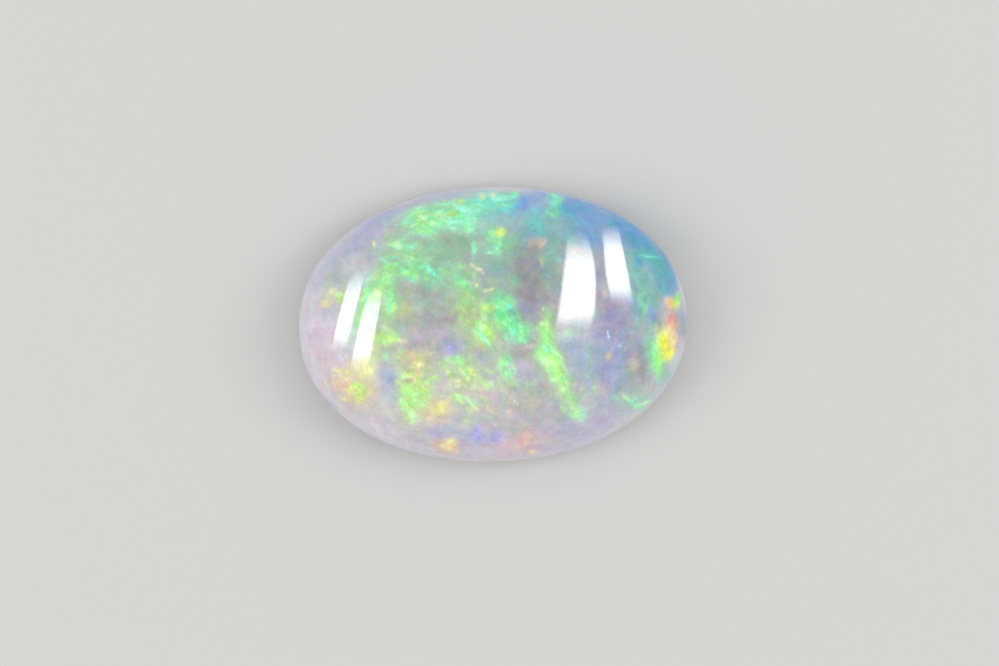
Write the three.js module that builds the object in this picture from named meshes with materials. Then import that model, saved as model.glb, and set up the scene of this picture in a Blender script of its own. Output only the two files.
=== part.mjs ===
// Oval opal cabochon: one polished stone with a domed face, a narrow girdle and a flat lapped base.
// Millimetres, +Z up. The origin is the middle of the flat base, and +X runs along the stone's length.
import * as THREE from "three";

// Driving dimensions of the stone
const LENGTH = 14.0;
const WIDTH = 9.92;
const HEIGHT = 4.5;
const BEVEL_HEIGHT = 0.55; // from the base up to the girdle's lower edge
const GIRDLE_BAND = 0.12; // the upright band that a setting would grip
const BASE_SHARE = 0.93; // the base's outline as a share of the girdle's

// Fullness of the two curves: 2 is a plain ellipse, and a little more fills out the shoulders
const OUTLINE_POWER = 2.1;
const DOME_POWER = 2.15;

// Facets of the solid
const SIDES = 96;
const DOME_RINGS = 22;

// Surface of a milky stone with a bright polish
const BODY_COLOUR = 0xb9b7c6;
const POLISH_ROUGHNESS = 0.06;

// One coordinate of a superellipse, from a cosine or a sine
function bulge(ratio, power) {
  return Math.sign(ratio) * Math.abs(ratio) ** (2 / power);
}

// The stone's cross-section from the middle of the base to the top of the dome.
// Across it runs from 0 on the axis to 1 at the girdle, and up it is in millimetres.
function profile() {
  const girdleTop = BEVEL_HEIGHT + GIRDLE_BAND;
  const domeRise = HEIGHT - girdleTop;
  const points = [
    new THREE.Vector2(0, 0),
    new THREE.Vector2(BASE_SHARE, 0),
    new THREE.Vector2(1, BEVEL_HEIGHT),
    new THREE.Vector2(1, girdleTop),
  ];
  for (let ring = 1; ring < DOME_RINGS; ring++) {
    const angle = (ring / DOME_RINGS) * (Math.PI / 2);
    const across = bulge(Math.cos(angle), DOME_POWER);
    const up = girdleTop + domeRise * bulge(Math.sin(angle), DOME_POWER);
    points.push(new THREE.Vector2(across, up));
  }
  points.push(new THREE.Vector2(0, HEIGHT));
  return points;
}

// Turns the round lathe shape into the stone's oval, one vertex at a time
function makeOval(geometry) {
  const position = geometry.getAttribute("position");
  for (let i = 0; i < position.count; i++) {
    const x = position.getX(i);
    const y = position.getY(i);
    const across = Math.hypot(x, y);
    if (across === 0) continue;
    const ovalX = (LENGTH / 2) * across * bulge(x / across, OUTLINE_POWER);
    const ovalY = (WIDTH / 2) * across * bulge(y / across, OUTLINE_POWER);
    position.setXY(i, ovalX, ovalY);
  }
  geometry.computeVertexNormals();
  return geometry;
}

function cabochon() {
  const geometry = new THREE.LatheGeometry(profile(), SIDES);
  geometry.rotateX(Math.PI / 2); // the lathe's own axis is Y
  const material = new THREE.MeshStandardMaterial({
    color: BODY_COLOUR,
    roughness: POLISH_ROUGHNESS,
    metalness: 0,
  });
  const mesh = new THREE.Mesh(makeOval(geometry), material);
  mesh.name = "cabochon";
  return mesh;
}

const stone = new THREE.Group();
stone.add(cabochon());

export default stone;
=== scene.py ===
"""Looks of an oval opal cabochon: a milky polished stone with broken flashes of colour in it.

The script works in metres. Places and sizes of the markings are in millimetres on the stone's
face, as it is seen from straight above: x runs along the stone's length, y across it.
"""

import math
import random

import bpy
import numpy as np
from mathutils import Matrix, Vector, noise


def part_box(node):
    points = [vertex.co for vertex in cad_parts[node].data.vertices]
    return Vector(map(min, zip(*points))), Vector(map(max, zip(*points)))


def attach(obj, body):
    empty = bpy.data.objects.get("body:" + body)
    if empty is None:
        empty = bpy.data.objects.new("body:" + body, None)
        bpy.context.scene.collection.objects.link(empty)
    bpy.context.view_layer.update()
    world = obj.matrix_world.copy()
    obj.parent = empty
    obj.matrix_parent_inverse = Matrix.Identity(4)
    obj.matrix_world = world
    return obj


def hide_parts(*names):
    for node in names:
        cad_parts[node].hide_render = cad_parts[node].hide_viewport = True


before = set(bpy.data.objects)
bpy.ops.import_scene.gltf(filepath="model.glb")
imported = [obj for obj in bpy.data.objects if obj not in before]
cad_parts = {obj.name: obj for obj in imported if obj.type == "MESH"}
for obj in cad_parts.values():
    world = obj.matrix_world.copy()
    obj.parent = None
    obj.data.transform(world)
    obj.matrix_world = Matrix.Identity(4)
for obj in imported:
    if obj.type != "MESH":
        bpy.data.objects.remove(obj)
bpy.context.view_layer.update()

MM = 0.001

# Shape of the stone, in metres: the box comes from the frame
BOX_LOW, BOX_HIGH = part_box("cabochon")
HALF_LENGTH = (BOX_HIGH.x - BOX_LOW.x) / 2
HALF_WIDTH = (BOX_HIGH.y - BOX_LOW.y) / 2
HEIGHT = BOX_HIGH.z - BOX_LOW.z
BEVEL_HEIGHT = 0.55 * MM
GIRDLE_TOP = 0.67 * MM
DOME_RISE = HEIGHT - GIRDLE_TOP
BASE_SHARE = 0.93
OUTLINE_POWER = 2.1
DOME_POWER = 2.15
EDGE_SOFTNESS = 0.10 * MM

# Slight waves of a hand polish: for each wave, radians to a millimetre along x and y, and the start
POLISH_HEIGHT = 0.0022 * MM
LONG_WAVE = (1.1, 0.5, 0.7)
CROSS_WAVE = (-0.6, 1.4, 0.0)
SHORT_WAVE = (2.7, -1.9, 1.3)
SHORT_WAVE_SHARE = 0.35

# Fineness of the mesh, which carries the markings
SIDES = 600
DOME_RINGS = 140
BASE_RINGS = 4
CORNER_STEPS = 5

# Where the stone lies in the photograph, in pixels
PHOTO_WIDTH = 999
PHOTO_HEIGHT = 666
STONE_PIXELS = 388.4
STONE_CENTRE_X = 492.95
STONE_CENTRE_Y = 324.2
STONE_TILT = math.radians(1.8)

# Camera: lens and sensor in millimetres, and the rounds in which a line of sight meets the dome
LENS = 180.0
SENSOR = 36.0
CLIP_START = 5 * MM
SIGHT_ROUNDS = 6

# Body colours of the milky stone. The first, the milk of the sides, is painted lighter as a painted
# glow, standing in for light through the thin rim and for the weaker light the sides get; the second,
# the pearl of the top, is painted darker as painted shade of the translucent middle
MILK_GLOW = "e0dbea"
PEARL_SHADE = "b4b5b8"
SMOKE = "8e8c90"
LAVENDER = "b8b4e2"
ROSE = "e0cad2"
MIST = "a8b8da"
MAUVE = "9a90bc"
TAN = "b4a49c"
SAGE = "9cb6a2"
SLATE = "9ca8d0"
BONE = "d8d2cc"

# Flash colours
ICE = "d2fff0"
FROST = "a4ffe0"
CREAM = "f8f6b8"
PALE = "ccffbe"
AQUA = "7cf2d6"
MINT = "92f6b4"
JADE = "70de94"
GREEN = "a0f490"
LIME = "c0f484"
OLIVE = "b4ca84"
YELLOW = "fffe44"
LEMON = "dcf880"
FLARE = "9cfc7c"
AMBER = "f2dc92"
PEACH = "f2ceb0"
ORANGE = "f4bc54"
GOLD = "eae08c"
CORAL = "ee9e90"
VIOLET = "b2aaee"
INDIGO = "8fa0e4"
BLUE = "6ca8dc"
TEAL = "3aa0c6"
SEA = "60b8a4"
SKY = "a4b6e8"
AZURE = "74bcee"
COBALT = "7aa0ec"

# Soft patches of body colour; those in the lightest milk are partly painted glow near the rim. Each row
# here and below gives x, y, length, width, turn in degrees, colour and strength.
CLOUDS = [
    (1.45, 1.45, 2.0, 3.2, 0, SMOKE, 0.82),
    (1.2, 2.6, 1.8, 1.8, 0, SMOKE, 0.55),
    (-2.3, 0.7, 3.2, 1.8, -10, SMOKE, 0.4),
    (-1.2, 2.8, 2.2, 1.3, -10, SMOKE, 0.4),
    (-1.25, 3.25, 0.8, 0.4, 0, SMOKE, 0.35),
    (-3.9, 3.95, 2.4, 0.8, 30, LAVENDER, 0.62),
    (-5.1, 3.0, 1.8, 1.0, 45, MIST, 0.42),
    (-2.8, 4.45, 3.0, 0.5, 15, LAVENDER, 0.5),
    (-3.6, -2.6, 6.4, 3.6, 0, BONE, 0.85),
    (-4.2, -3.7, 2.6, 1.0, -28, MILK_GLOW, 0.6),
    (-5.4, -0.6, 2.6, 3.4, 0, MILK_GLOW, 0.7),
    (-0.6, -2.8, 4.6, 2.6, 0, BONE, 0.6),
    (-2.4, -0.3, 3.0, 1.2, 0, PEARL_SHADE, 0.25),
    (-6.2, -0.6, 1.6, 3.2, 0, ROSE, 0.5),
    (-5.6, 2.1, 1.8, 1.5, 50, MIST, 0.36),
    (-5.6, 1.7, 1.2, 1.2, 0, BONE, 0.4),
    (-5.5, 1.8, 1.3, 1.2, 0, SAGE, 0.4),
    (-4.35, 2.65, 1.0, 0.9, 0, MIST, 0.34),
    (-5.0, 2.5, 1.2, 1.0, 0, BONE, 0.4),
    (-3.6, 3.95, 1.4, 0.7, 22, MIST, 0.5),
    (-3.6, 3.95, 1.0, 0.5, 22, ICE, 0.14),
    (-4.6, 3.3, 1.4, 0.8, 32, MIST, 0.32),
    (0.4, -4.5, 3.4, 1.2, 0, ROSE, 0.7),
    (-1.5, -3.8, 2.8, 1.5, 0, LAVENDER, 0.35),
    (4.2, -1.4, 2.2, 3.4, 20, SLATE, 0.5),
    (3.2, -3.6, 3.0, 1.6, 20, LAVENDER, 0.4),
    (4.3, -0.1, 1.3, 1.8, 0, MAUVE, 0.62),
    (4.9, 0.55, 0.7, 0.8, 0, LAVENDER, 0.5),
    (3.75, -0.45, 0.8, 0.7, 0, MAUVE, 0.45),
    (1.3, 0.45, 0.9, 0.8, 0, MAUVE, 0.6),
    (5.2, -1.3, 1.3, 2.0, 0, SMOKE, 0.4),
    (5.2, -1.1, 1.2, 1.6, 0, SLATE, 0.3),
    (5.35, -1.6, 0.7, 1.2, 15, SMOKE, 0.42),
    (5.0, -1.6, 0.9, 0.9, 40, TAN, 0.18),
    (5.0, -0.4, 1.1, 1.0, 0, SAGE, 0.28),
    (1.2, -1.05, 1.0, 1.0, 10, TAN, 0.4),
    (0.05, -1.1, 0.9, 0.6, 0, OLIVE, 0.3),
    (1.15, -1.7, 0.8, 1.0, 0, LAVENDER, 0.3),
    (-2.1, -0.8, 1.8, 0.9, 0, TAN, 0.4),
    (5.1, -2.2, 1.6, 1.0, 30, SAGE, 0.22),
    (3.7, -2.35, 1.0, 1.0, 0, BONE, 0.62),
    (3.55, -2.4, 0.6, 0.5, 0, SAGE, 0.35),
    (4.9, -2.0, 0.8, 0.9, 0, SAGE, 0.5),
    (6.2, -2.0, 1.6, 0.8, 60, SEA, 0.4),
    (4.5, -3.2, 1.4, 1.0, 20, SAGE, 0.14),
    (5.3, -2.9, 1.4, 0.7, 35, PEARL_SHADE, 0.4),
    (3.0, -1.2, 1.5, 1.5, -30, MIST, 0.6),
]

# Broad soft glows of colour in the stone, among them painted highlight glow and painted shade by the
# strip highlights
WASHES = [
    (-2.2, 3.85, 2.2, 1.3, -2, MINT, 0.75),
    (-1.0, 3.95, 1.9, 1.3, -5, MINT, 0.72),
    (-0.1, 4.35, 2.2, 1.0, 0, AQUA, 0.78),
    (0.3, 4.0, 1.2, 0.7, 0, BLUE, 0.35),
    (0.4, 4.3, 1.8, 0.6, 0, AZURE, 0.26),
    (-2.3, 4.0, 1.6, 0.9, 0, AQUA, 0.2),
    (0.8, 4.3, 1.0, 0.9, 0, AQUA, 0.5),
    (0.8, 4.15, 0.8, 0.7, 0, TEAL, 0.25),
    (1.3, 4.35, 1.0, 1.1, 0, COBALT, 0.75),
    (1.9, 4.1, 1.0, 1.0, 0, AZURE, 0.5),
    (2.4, 4.2, 0.9, 1.2, 0, SEA, 0.8),
    (2.45, 4.2, 0.8, 0.9, 0, AQUA, 0.45),
    (2.95, 4.1, 1.2, 0.9, -15, AZURE, 0.7),
    (2.75, 3.9, 0.9, 0.9, -15, SEA, 0.4),
    (2.7, 4.45, 1.6, 0.5, -12, TEAL, 0.35),
    (3.5, 3.9, 1.7, 1.1, -22, BLUE, 0.85),
    (3.4, 3.55, 1.1, 0.7, -10, AZURE, 0.38),
    (3.1, 3.2, 1.3, 1.0, 0, TEAL, 0.4),
    (3.0, 3.1, 1.1, 0.9, 0, SEA, 0.35),
    (3.75, 3.0, 1.0, 1.5, 0, BLUE, 0.65),
    (4.8, 2.8, 0.8, 1.0, -40, BLUE, 0.4),
    # Painted shade: a darker patch between the two right strip highlights, taking back the glow at their
    # edges
    (3.9, 1.6, 0.6, 2.0, 0, MAUVE, 0.4),
    (4.6, 3.6, 2.4, 1.3, -38, BLUE, 0.95),
    (4.4, 3.5, 0.9, 0.8, -30, SEA, 0.25),
    (5.6, 2.8, 2.4, 1.4, -56, BLUE, 0.55),
    (5.6, 2.75, 2.4, 1.4, -56, TEAL, 0.8),
    (6.0, 1.9, 1.8, 1.2, -70, SEA, 0.8),
    (6.3, 1.7, 1.6, 0.9, -70, TEAL, 0.45),
    (5.1, 2.2, 1.2, 1.3, -60, SEA, 0.45),
    (5.55, 2.0, 0.9, 0.9, -60, AZURE, 0.3),
    (5.4, 1.2, 1.4, 1.4, -70, SEA, 0.66),
    (5.2, 0.85, 0.7, 0.9, 0, SLATE, 0.34),
    (6.35, 1.1, 0.8, 0.8, 0, TEAL, 0.45),
    (5.85, 0.15, 0.7, 1.0, 0, BLUE, 0.55),
    (5.4, 0.3, 0.9, 1.3, -20, SEA, 0.5),
    (5.15, 0.3, 0.5, 0.8, 0, BLUE, 0.35),
    (6.85, -0.2, 0.35, 1.4, 0, SEA, 0.5),
    (6.0, 0.7, 0.8, 1.0, 0, SEA, 0.45),
    (6.05, 1.4, 0.8, 0.9, 0, TEAL, 0.35),
    (5.9, 2.4, 1.4, 0.6, -60, BLUE, 0.4),
    (2.2, 2.9, 1.4, 2.0, 0, SEA, 0.5),
    (2.2, 1.9, 0.7, 1.5, 0, SEA, 0.4),
    (1.6, 3.5, 1.8, 1.2, 0, TEAL, 0.46),
    (1.7, 3.7, 1.4, 1.0, 0, AQUA, 0.36),
    (0.1, 3.0, 1.2, 2.0, 0, MINT, 0.42),
    (0.7, 3.2, 1.0, 1.2, 0, JADE, 0.42),
    (0.3, 2.0, 1.5, 1.8, 0, SEA, 0.36),
    (0.85, 1.5, 0.7, 0.9, 0, JADE, 0.25),
    (-1.9, 2.75, 2.2, 1.1, -5, JADE, 0.38),
    (-0.85, 3.0, 0.8, 1.0, 0, JADE, 0.35),
    (-3.4, 3.3, 1.6, 0.8, 20, MINT, 0.08),
    (-3.1, 2.75, 2.0, 1.4, -10, GREEN, 0.36),
    (-2.8, 2.0, 2.2, 1.2, -10, JADE, 0.5),
    (-1.3, 1.9, 2.2, 1.2, -25, JADE, 0.24),
    (-1.0, 1.1, 1.6, 1.4, -40, GREEN, 0.36),
    (-0.8, 0.4, 1.5, 1.7, 0, OLIVE, 0.54),
    (-4.3, 1.3, 1.2, 2.0, -20, GREEN, 0.5),
    (-3.7, 1.0, 0.8, 2.4, 0, GREEN, 0.45),
    # Partly painted highlight glow at the edge of the left inner strip highlight, partly the stone's
    # pale flash
    (-4.0, 0.9, 0.6, 0.9, 0, PALE, 0.36),
    (-3.9, 1.9, 1.1, 1.0, 0, PALE, 0.32),
    # Partly painted highlight glow in the gap between the two left strip highlights, partly the stone's
    # pale flash
    (-5.0, 0.4, 0.7, 2.4, -20, PALE, 0.35),
    (-4.0, -0.4, 1.8, 1.4, 0, LIME, 0.45),
    (-2.4, 0.8, 2.6, 1.5, 0, SAGE, 0.3),
    (0.35, 0.6, 1.3, 1.2, -40, JADE, 0.72),
    (0.75, -0.15, 1.2, 0.9, -30, JADE, 0.7),
    (0.95, -0.62, 0.9, 0.6, -20, JADE, 0.46),
    (-0.3, -0.3, 1.2, 1.6, -50, LIME, 0.58),
    (-0.6, 0.0, 1.5, 0.7, -42, GREEN, 0.15),
    (0.35, -1.4, 0.8, 0.9, 0, MINT, 0.3),
    (0.5, -2.0, 1.0, 0.8, -40, GREEN, 0.15),
    (1.93, -0.35, 1.5, 0.7, -85, LIME, 0.42),
    (2.08, -1.3, 2.3, 0.95, -72, GREEN, 0.52),
    (1.95, 0.3, 0.5, 0.7, 0, GREEN, 0.35),
    (2.7, -2.7, 2.0, 1.2, -60, PALE, 0.26),
    (2.95, -3.3, 1.0, 0.9, 0, PALE, 0.36),
    (-4.7, -1.5, 1.5, 1.1, 0, CREAM, 0.7),
    (-4.4, -1.2, 0.8, 0.7, 0, LIME, 0.35),
    (-5.45, -1.95, 1.5, 1.6, 0, PEACH, 0.7),
    (-4.9, -2.35, 1.2, 1.0, 0, AMBER, 0.4),
    (-5.15, -1.3, 0.7, 0.6, 0, CREAM, 0.4),
    (-4.95, -2.25, 0.8, 0.9, 0, LEMON, 0.42),
    (-3.75, -1.95, 1.0, 1.4, 0, INDIGO, 0.6),
    (-4.5, -2.2, 0.5, 0.8, 0, AMBER, 0.26),
    (-4.1, -1.95, 0.5, 1.1, 0, LAVENDER, 0.4),
    (-3.7, -2.7, 0.8, 1.0, 0, LAVENDER, 0.4),
    (-2.95, -2.4, 1.7, 1.8, 0, LIME, 0.72),
    (-3.4, -2.85, 0.6, 0.7, 0, GREEN, 0.3),
    (-2.8, -1.5, 1.8, 1.0, -15, OLIVE, 0.5),
    (-2.7, -1.2, 1.4, 0.8, -15, AMBER, 0.36),
    (-2.95, -2.05, 0.8, 0.6, 0, AMBER, 0.5),
    (-1.15, -2.1, 1.0, 0.6, 0, AMBER, 0.26),
    (-1.1, -1.6, 1.8, 1.2, -15, GREEN, 0.22),
    (-0.8, -1.85, 1.6, 0.8, -20, LIME, 0.18),
    (-1.2, -1.2, 0.8, 0.6, 0, GREEN, 0.36),
    (-1.2, -2.8, 1.8, 0.8, -18, SAGE, 0.2),
    (1.3, -2.5, 0.9, 0.8, 0, SAGE, 0.45),
    (1.35, -2.75, 0.8, 0.6, 0, OLIVE, 0.22),
    (-2.0, -3.0, 1.4, 1.2, 0, AMBER, 0.36),
    (-1.98, -2.9, 0.5, 0.5, 0, LEMON, 0.3),
    (-1.82, -4.3, 1.0, 1.0, 0, PEACH, 0.8),
    (-0.6, -4.1, 1.8, 0.8, 0, SKY, 0.34),
    (-0.5, -4.5, 1.6, 0.5, 0, MILK_GLOW, 0.4),
    (-1.1, -3.6, 0.7, 0.7, 0, PALE, 0.3),
    (-1.95, -3.7, 1.2, 0.9, 0, LAVENDER, 0.45),
    (-2.85, -3.6, 1.1, 0.8, 0, BONE, 0.5),
    (1.0, -4.25, 1.6, 1.3, 0, ROSE, 0.5),
    (1.0, -4.25, 1.2, 1.0, 0, CORAL, 0.2),
    # Painted highlight glow: near-white patches at the bottom end of the right main strip highlight
    (2.75, -0.35, 1.3, 0.7, 0, ICE, 0.35),
    (3.2, -0.55, 1.2, 0.6, 0, MILK_GLOW, 0.35),
    (4.2, -1.8, 1.1, 2.0, 0, INDIGO, 0.26),
    (5.1, -2.95, 1.7, 0.8, -10, MINT, 0.4),
    (3.5, -1.7, 0.6, 1.8, 5, MINT, 0.12),
    (5.65, -1.0, 0.5, 1.5, 5, MINT, 0.28),
    (5.9, -1.25, 0.8, 1.7, 5, JADE, 0.5),
    (6.4, -0.7, 0.7, 1.3, 0, AMBER, 0.28),
    (6.75, -0.2, 0.5, 1.7, 0, SMOKE, 0.5),
    (6.15, -0.05, 0.7, 0.9, 0, SMOKE, 0.36),
    (6.5, 0.6, 0.5, 0.7, 0, AMBER, 0.1),
    (-1.5, -0.8, 0.9, 0.8, 0, VIOLET, 0.45),
    (1.68, 2.92, 1.1, 0.7, 0, TAN, 0.35),
    (-5.9, 1.05, 1.2, 0.8, 0, PEACH, 0.3),
    (-5.7, 1.15, 0.9, 0.8, 0, PALE, 0.28),
    # Painted highlight glow: a whitish halo above the top of the left outer strip highlight
    (-4.9, 2.0, 0.8, 0.7, 0, ICE, 0.22),
    (-3.2, 0.5, 0.9, 0.8, 0, LEMON, 0.26),
    (-3.2, 0.8, 0.9, 0.9, 0, GREEN, 0.16),
    (-2.1, 1.5, 1.2, 0.9, 0, JADE, 0.34),
    (-2.65, 0.7, 0.8, 0.7, 0, BONE, 0.22),
    (-6.4, 0.4, 1.0, 2.0, 0, MILK_GLOW, 0.4),
    # Painted highlight glow at the top of the left outer strip highlight
    (-4.75, 2.1, 0.9, 0.9, 0, MILK_GLOW, 0.4),
]

# Colour close to the rim
RIM_WASHES = [
    (-1.6, 4.62, 2.4, 0.5, 5, SKY, 0.35),
    (0.4, 4.75, 2.0, 0.4, 0, AQUA, 0.45),
    (1.8, 4.6, 1.4, 0.5, -6, AZURE, 0.6),
    (3.0, 4.35, 1.6, 0.6, -18, BLUE, 0.7),
    (3.0, 4.4, 1.0, 0.4, -18, SKY, 0.35),
    (4.2, 3.9, 1.6, 0.7, -28, BLUE, 0.85),
    (5.3, 3.2, 1.6, 0.7, -42, BLUE, 0.85),
    (6.1, 2.35, 1.4, 0.7, -56, TEAL, 0.7),
    (6.5, 1.5, 1.3, 0.7, -70, TEAL, 0.6),
    (6.7, 1.0, 1.0, 0.5, -75, TEAL, 0.35),
    (6.8, 0.4, 1.2, 0.4, -85, SLATE, 0.5),
]

# Banks of flakes
BANKS = [
    (-2.5, 3.9, 1.1, 0.9, -5, MINT, 0.95),
    (-2.5, 4.2, 0.6, 0.35, 0, FROST, 0.35),
    (-2.55, 3.93, 0.4, 0.4, 0, LIME, 0.45),
    (-2.15, 3.45, 1.0, 0.6, 0, MINT, 0.9),
    (-1.55, 3.9, 1.1, 0.7, -10, MINT, 0.85),
    (-1.55, 4.4, 1.2, 0.35, 4, MINT, 0.55),
    (-0.95, 4.1, 0.7, 0.6, -40, MINT, 0.9),
    (-0.8, 3.55, 0.45, 0.7, 0, MINT, 0.85),
    (-0.2, 4.35, 0.9, 0.6, 10, AQUA, 0.85),
    (0.45, 4.5, 1.1, 0.55, -4, AQUA, 0.95),
    (0.95, 4.65, 0.5, 0.35, 0, MINT, 0.8),
    (2.36, 4.4, 0.44, 0.8, 0, AQUA, 1.0),
    (2.3, 3.95, 0.6, 0.5, 0, MINT, 0.4),
    (-3.2, 2.95, 0.9, 0.45, -12, MINT, 0.65),
    (-2.9, 2.55, 0.9, 0.5, -12, GREEN, 0.35),
    (-3.12, 1.96, 0.5, 0.36, 0, GREEN, 0.9),
    (-2.85, 1.86, 0.42, 0.36, 0, MINT, 0.95),
    (-3.7, 2.12, 0.7, 0.4, 0, GREEN, 0.5),
    (-4.45, 1.6, 0.5, 0.8, -10, MINT, 0.42),
    (-4.45, 1.2, 0.6, 0.7, 60, GREEN, 0.6),
    (-4.78, 0.5, 1.8, 0.3, 72, GREEN, 0.5),
    (-3.85, 1.8, 0.9, 0.5, 70, GREEN, 0.5),
    (-3.65, 1.1, 0.9, 0.3, -85, MINT, 0.85),
    (-3.65, 0.72, 0.45, 0.4, 0, LIME, 0.7),
    (-1.2, 1.58, 0.7, 0.36, -15, GREEN, 0.65),
    (-0.85, 1.35, 0.7, 0.3, -38, JADE, 0.6),
    (-1.2, 2.1, 0.9, 0.7, 0, JADE, 0.2),
    (-1.0, 0.5, 1.2, 0.6, 70, OLIVE, 0.45),
    (0.3, 0.7, 0.8, 0.5, -10, MINT, 0.85),
    (0.25, 1.1, 1.0, 0.5, -30, JADE, 0.34),
    (0.4, 0.25, 0.45, 0.4, 0, MINT, 0.95),
    (0.6, -0.05, 1.0, 0.5, -30, JADE, 0.7),
    (0.8, -0.2, 0.5, 0.4, -30, MINT, 0.75),
    (1.12, -0.3, 0.5, 0.35, -50, MINT, 0.75),
    (0.85, -0.6, 0.8, 0.34, 0, MINT, 0.65),
    (-0.3, -0.05, 0.6, 0.55, -20, LIME, 0.8),
    (-0.5, -0.1, 0.4, 0.5, 0, MINT, 0.6),
    (0.3, -1.42, 0.4, 0.45, -40, GREEN, 0.85),
    (0.45, -1.78, 0.45, 0.36, -40, GREEN, 0.55),
    (0.55, -2.12, 0.6, 0.36, -40, GREEN, 0.36),
    (1.2, -2.3, 0.6, 0.36, 0, GREEN, 0.35),
    (1.85, -0.1, 0.5, 0.4, 0, LIME, 0.85),
    (1.95, -0.45, 0.4, 0.6, 0, GREEN, 0.5),
    (1.88, -0.75, 0.8, 0.5, -75, GREEN, 0.6),
    (1.93, -1.1, 0.8, 0.65, -65, GREEN, 0.72),
    (1.95, -1.0, 0.8, 0.28, -62, MINT, 0.8),
    (2.12, -1.55, 0.8, 0.7, -45, LIME, 0.75),
    (2.27, -1.92, 0.55, 0.6, -60, LIME, 0.75),
    (2.48, -2.42, 0.7, 0.6, -60, LIME, 0.38),
    (2.75, -2.75, 0.9, 0.6, -60, GREEN, 0.32),
    (2.92, -3.35, 0.6, 0.45, 20, MINT, 0.62),
    (-2.75, -2.35, 0.8, 0.9, -15, LIME, 0.92),
    (-3.12, -2.3, 0.36, 0.7, 0, GREEN, 0.7),
    (-3.0, -2.8, 0.9, 0.4, -10, GREEN, 0.7),
    (-3.12, -2.87, 0.35, 0.18, 0, SEA, 0.5),
    (-3.0, -1.75, 0.7, 0.45, 0, LIME, 0.6),
    (-3.05, -3.25, 0.35, 0.45, -30, LIME, 0.85),
    (-2.2, -1.92, 0.36, 0.32, 0, GREEN, 0.85),
    (-1.62, -1.88, 0.26, 0.4, -8, LIME, 0.6),
    (-1.3, -1.28, 0.5, 0.36, -15, GREEN, 0.8),
    (-1.75, -1.3, 0.3, 0.3, 0, LIME, 0.6),
    (-1.05, -1.62, 0.35, 0.3, 0, GREEN, 0.95),
    (-0.8, -1.68, 0.34, 0.5, 0, LEMON, 0.92),
    (-1.0, -2.0, 1.0, 0.4, -15, OLIVE, 0.42),
    (-0.3, -2.1, 0.9, 0.3, -42, LIME, 0.48),
    (-1.45, -2.6, 0.5, 0.4, -15, LIME, 0.48),
    (-1.15, -2.8, 0.8, 0.35, -18, GREEN, 0.42),
    (-0.74, -2.97, 0.45, 0.22, -35, GREEN, 0.5),
    (-0.42, -2.02, 0.4, 0.12, -50, GREEN, 0.5),
    (-0.24, -2.3, 0.34, 0.11, -50, PALE, 0.42),
    (-0.46, -2.66, 0.46, 0.12, -55, CREAM, 0.4),
    (-0.9, -2.42, 0.36, 0.12, -45, LIME, 0.4),
    (-0.98, -3.1, 0.46, 0.12, -42, LIME, 0.48),
    (-0.3, -3.4, 0.44, 0.18, -55, GREEN, 0.26),
    (-1.02, -3.42, 0.34, 0.28, -60, LIME, 0.28),
    (0.24, -2.42, 0.34, 0.12, -60, PALE, 0.3),
    (-3.65, -0.42, 0.7, 0.3, -8, LEMON, 0.85),
    (-4.05, -0.35, 0.5, 0.6, 70, LIME, 0.55),
    (-3.3, -0.9, 0.35, 0.35, 0, GREEN, 0.5),
    (-3.93, -1.1, 0.5, 0.45, 0, GREEN, 0.32),
    (-4.95, -2.2, 0.5, 0.62, 30, LIME, 0.85),
    (-4.62, -1.5, 0.5, 0.4, 0, LEMON, 0.5),
    (3.6, -2.35, 0.4, 0.3, -40, GREEN, 0.5),
    (3.5, -1.6, 0.36, 1.4, 0, SAGE, 0.28),
    (4.33, -0.85, 1.2, 0.18, 68, BONE, 0.35),
    (5.4, 0.3, 0.9, 0.3, 65, MINT, 0.32),
    (5.25, 1.5, 1.2, 0.5, -70, MINT, 0.24),
    (5.85, 2.2, 1.6, 0.5, -50, SEA, 0.45),
    (5.25, 2.35, 0.8, 0.4, -20, SEA, 0.45),
    (5.9, -2.0, 0.5, 0.6, 0, GREEN, 0.28),
]

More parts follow.
